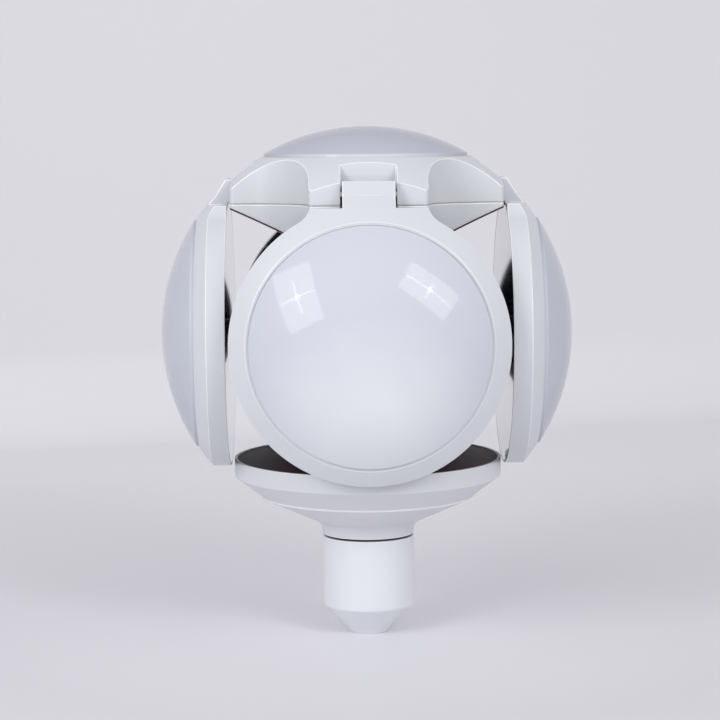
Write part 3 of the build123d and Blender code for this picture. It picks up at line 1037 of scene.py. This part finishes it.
@dataclass
class Bowl:
    """The bowl with its dark cover, the control board, the switch and its button."""

    def build(self) -> None:
        """Dresses the bowl's nodes."""
        dress_node("bowl", BOWL_WHITE_PAINTED_LIGHT)
        dress_node("bowl_cover", DARK_COVER)
        dress_node("push_button", BOWL_WHITE_PAINTED_LIGHT)
        dress_node("control_board", CONTROL_BOARD)
        dress_node("board_parts", CHIP)
        dress_node("board_screws", NICKEL)
        dress_node("switch_body", BLACK)


@dataclass
class Column:
    """The column with the battery cell inside it."""

    def build(self) -> None:
        """Dresses the column's nodes."""
        dress_node("column", BOWL_WHITE_PAINTED_LIGHT)
        dress_node("battery_cell", CELL_WRAP)
        dress_node("battery_spring", NICKEL)
        dress_node("battery_contact", NICKEL)


@dataclass
class Base:
    """The screw base and the cap over it."""

    def build(self) -> None:
        """Dresses the base's nodes and the cap."""
        dress_node("screw_shell", ROLLED)
        dress_node("contact_insulator", BLACK)
        dress_node("centre_contact", BRASS)
        # The seal ring's black finish is the painted shadow in the gap between the cap and the
        # neck.
        dress_node("seal_ring", GAP_SHADOW_BLACK)
        dress_node("cap", CAP_WHITE_PAINTED_LIGHT)


# Studio

# Painted light and shade on the table and wall: the table is painted darker in front and lighter at
# the back, with a painted pool of light round the lamp, and the wall is painted darker on the left
# than on the right
TABLE_FRONT_PAINTED_SHADE = (0.725, 0.715, 0.755)
TABLE_BACK_PAINTED_LIGHT = (0.885, 0.875, 0.915)
TABLE_PAINTED_LIGHT_POOL = (0.86, 0.85, 0.885)
WALL_LEFT_PAINTED_SHADE = (0.79, 0.785, 0.82)
WALL_RIGHT_PAINTED_LIGHT = (0.86, 0.855, 0.89)

# Where those tones change into each other, in metres
TABLE_SHADE_RUN = (-0.1, 0.35)
PAINTED_POOL_RUN = (0.02, 0.13)
WALL_SHADE_RUN = (-0.3, 0.3)
BEND_RUN = (0.0, 0.05)

ROOM_COLOUR = (0.985, 0.985, 1.0)
ROOM_GLOW = 0.635


@dataclass(frozen=True)
class Softbox:
    """A soft lamp: a bright panel with a cross of brighter ribs and a hot middle."""

    name: str
    middle: Place
    across: Place
    upward: Place
    width: float
    height: float
    glow: float
    layer: float = 2.0 * MM
    rib: float = 11.0 * MM
    rib_glow: float = 10.0
    rib_across: float = 0.92
    rib_up: float = 0.55
    core: float = 34.0 * MM
    core_glow: float = 21.0

    def build(self) -> None:
        """Hangs the panel, its ribs and its middle."""
        self._sheet("panel", self.width, self.height, self.glow, 0.0)
        across = self.width * self.rib_across
        up = self.height * self.rib_up
        self._sheet("rib_across", across, self.rib, self.rib_glow, self.layer)
        self._sheet("rib_up", self.rib, up, self.rib_glow, 2 * self.layer)
        self._sheet("core", self.core, self.core, self.core_glow, 3 * self.layer)

    def _sheet(self, part: str, width: float, height: float, glow: float, ahead: float) -> None:
        """Adds one rectangular light.

        Args:
            part: its name within the softbox.
            width: its size across.
            height: its size upward.
            glow: its brightness, where 1 is a white wall in the same room.
            ahead: how far it hangs in front of the panel.
        """
        light = bpy.data.lights.new(self.name + "_" + part, "AREA")
        light.shape = "RECTANGLE"
        light.size = width
        light.size_y = height
        light.energy = glow * math.pi * width * height
        holder = bpy.data.objects.new(self.name + "_" + part, light)
        bpy.context.scene.collection.objects.link(holder)
        side = Vector(self.across).normalized()
        top = Vector(self.upward)
        top = (top - side * top.dot(side)).normalized()
        back = side.cross(top)
        turn = Matrix((side, top, back)).transposed().to_4x4()
        holder.matrix_world = Matrix.Translation(Vector(self.middle) - back * ahead) @ turn


@dataclass(frozen=True)
class Camera:
    """The camera at the photograph's place."""

    place: Place = (-0.01467, -0.74516, 0.17195)
    pitch: float = 6.0
    yaw: float = 0.944
    roll: float = -0.44
    focal_pixels: float = 2200.7
    frame_pixels: float = 720.0
    sensor: float = 36.0
    nearest: float = 0.01
    farthest: float = 20.0

    def build(self) -> None:
        """Sets up the scene's camera."""
        data = bpy.data.cameras.new("camera")
        data.sensor_width = self.sensor
        data.lens = self.focal_pixels / self.frame_pixels * self.sensor
        data.clip_start = self.nearest
        data.clip_end = self.farthest
        holder = bpy.data.objects.new("camera", data)
        bpy.context.scene.collection.objects.link(holder)
        holder.matrix_world = (
            Matrix.Translation(self.place)
            @ Matrix.Rotation(math.radians(-self.yaw), 4, "Z")
            @ Matrix.Rotation(math.radians(90.0 - self.pitch), 4, "X")
            @ Matrix.Rotation(math.radians(self.roll), 4, "Z")
        )
        bpy.context.scene.camera = holder


@dataclass
class Studio:
    """The pale table and wall, the lamps and the camera."""

    wall_left: Vector = field(default_factory=lambda: Vector((-1.6, 0.13, 0.0)))
    wall_right: Vector = field(default_factory=lambda: Vector((1.6, 0.93, 0.0)))
    sweep: float = 0.05
    sweep_steps: int = 16
    past_ends: float = 2.0
    table_runs: Point = (-3.0, -1.0)
    wall_runs: Point = (1.0, 2.6)

    def build(self) -> None:
        """Builds the whole studio."""
        Camera().build()
        self._sweep()
        self._lamps()
        self._world()

    def _sweep(self) -> None:
        """Makes the table and the wall as one sheet with a tight bend between them."""
        along = (self.wall_right - self.wall_left).normalized()
        back = Vector((-along.y, along.x, 0.0))
        profile = [(out, 0.0) for out in (*self.table_runs, -self.sweep)]
        for step in range(1, self.sweep_steps + 1):
            angle = math.radians(90 * step / self.sweep_steps)
            out = self.sweep * math.sin(angle) - self.sweep
            profile.append((out, self.sweep * (1 - math.cos(angle))))
        profile += [(0.0, up) for up in self.wall_runs]
        ends = (self.wall_left - along * self.past_ends, self.wall_right + along * self.past_ends)
        verts = []
        for out, up in profile:
            for end in ends:
                verts.append(end + back * out + Vector((0.0, 0.0, up)))
        corners = range(0, 2 * len(profile) - 2, 2)
        faces = [[first, first + 1, first + 3, first + 2] for first in corners]
        sheet = solid("studio_sweep", verts, faces, sharp=80.0)
        sheet.data.materials.append(self._paper())

    def _paper(self) -> bpy.types.Material:
        """Makes the pale table's and wall's finish, painted with light and shade, which is clear
        from behind and from below.

        Returns:
            The material.
        """
        made = bpy.data.materials.new("studio_paper")
        made.use_nodes = True
        wiring = Wiring(made.node_tree)
        shader = wiring.principled()
        place = wiring.place()
        split = wiring.add("SeparateXYZ")
        wiring.join(place, split.inputs[0])
        right, away, up = split.outputs
        # Painted shade and light: the table is painted darker in front and lighter at the back
        table = wiring.blend(wiring.span(away, *TABLE_SHADE_RUN), TABLE_FRONT_PAINTED_SHADE, TABLE_BACK_PAINTED_LIGHT)
        out = wiring.add("VectorMath", operation="LENGTH")
        wiring.join(place, out.inputs[0])
        # Painted pool of light: the table is painted lighter round the lamp
        near = wiring.span(out.outputs["Value"], *PAINTED_POOL_RUN, 1.0, 0.0)
        table = wiring.blend(near, table, TABLE_PAINTED_LIGHT_POOL)
        # Painted shade: the wall is painted darker on the left than on the right
        wall = wiring.blend(wiring.span(right, *WALL_SHADE_RUN), WALL_LEFT_PAINTED_SHADE, WALL_RIGHT_PAINTED_LIGHT)
        tone = wiring.blend(wiring.span(up, *BEND_RUN), table, wall)
        wiring.join(tone, shader.inputs["Base Color"])
        shader.inputs["Roughness"].default_value = 0.45
        shader.inputs["Specular IOR Level"].default_value = 0.3
        from_behind = wiring.add("NewGeometry").outputs["Backfacing"]
        wiring.join(wiring.sum("SUBTRACT", 1.0, from_behind), shader.inputs["Alpha"])
        return made

    def _lamps(self) -> None:
        """Hangs two softboxes in front, high on the left and on the right."""
        Softbox(
            "softbox_left",
            middle=(-0.519, -0.617, 0.415),
            across=(0.246, -0.136, 0.145),
            upward=(-0.086, 0.281, 0.390),
            width=0.316,
            height=0.488,
            glow=5.0,
        ).build()
        Softbox(
            "softbox_right",
            middle=(0.452, -0.645, 0.461),
            across=(0.341, 0.073, -0.280),
            upward=(0.063, 0.132, 0.165),
            width=0.447,
            height=0.245,
            glow=5.0,
        ).build()

    def _world(self) -> None:
        """Fills the room with soft, slightly cool light."""
        world = bpy.data.worlds.new("studio")
        world.use_nodes = True
        wiring = Wiring(world.node_tree)
        output = wiring.add("OutputWorld")
        light = wiring.add("Background")
        light.inputs["Color"].default_value = (*ROOM_COLOUR, 1.0)
        light.inputs["Strength"].default_value = ROOM_GLOW
        wiring.join(light.outputs[0], output.inputs[0])
        bpy.context.scene.world = world


def main() -> None:
    """Builds the studio and the lamp."""
    logging.basicConfig(level=logging.INFO, format="%(message)s")
    bpy.context.scene.view_settings.view_transform = "Standard"
    Studio().build()
    Base().build()
    Bowl().build()
    Column().build()
    Head().build()
    for side in Side:
        Leaf(side).build()


if __name__ == "__main__":
    main()
